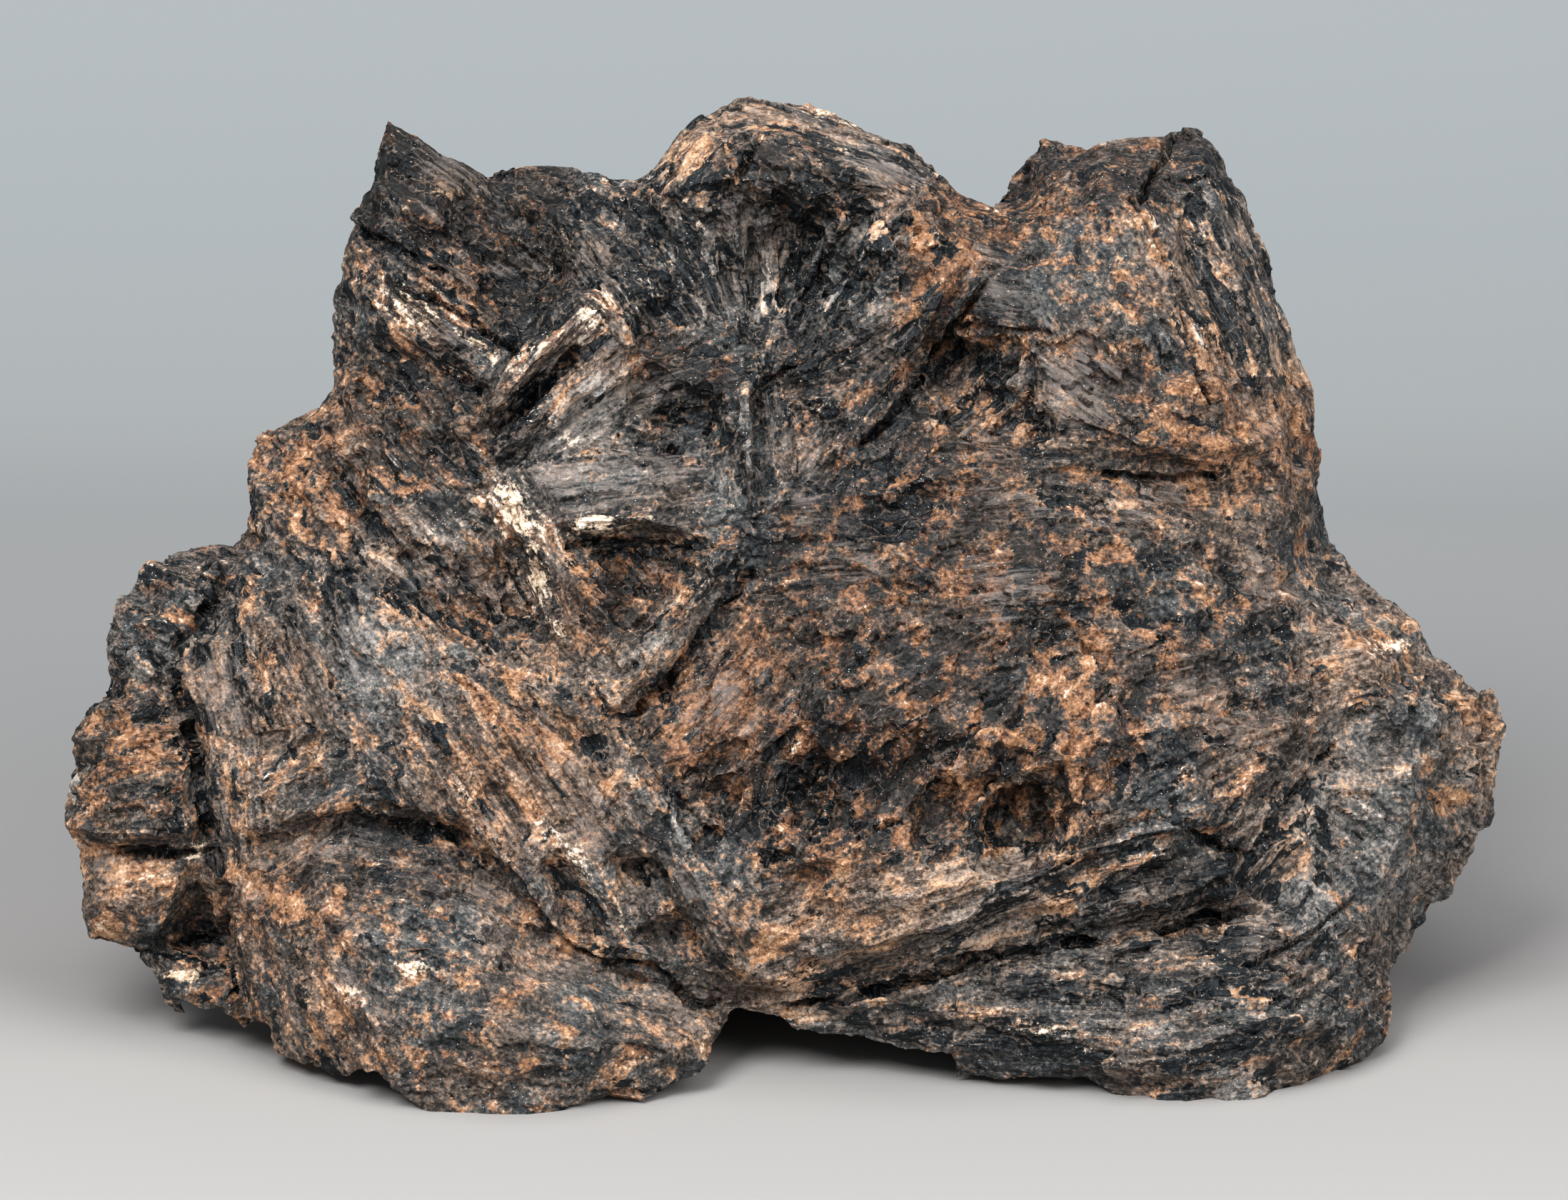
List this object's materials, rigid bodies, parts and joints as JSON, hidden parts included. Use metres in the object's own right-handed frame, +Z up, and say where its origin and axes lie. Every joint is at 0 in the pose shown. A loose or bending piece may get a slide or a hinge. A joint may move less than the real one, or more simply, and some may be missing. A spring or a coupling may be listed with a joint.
{
  "type": "bannisterite specimen",
  "caption": "Rough block of dark brown bannisterite: bent, intergrown sheaves of mica-like folia with ledges, clefts and pits, standing on small flat rests.",
  "frame": {"origin": "centre of the bounding box, at the height of the table", "axes": "+Z up, the broad face looks along -Y, +X to the viewer's right"},
  "size_m": [0.1126, 0.0644, 0.0668],
  "materials": {
    "bannisterite": "rough fracture with fine flaky sheen, dark brown to black with tan and cream patches"
  },
  "bodies": {
    "root": {"bannisterite_stone": "bannisterite"}
  },
  "joints": []
}
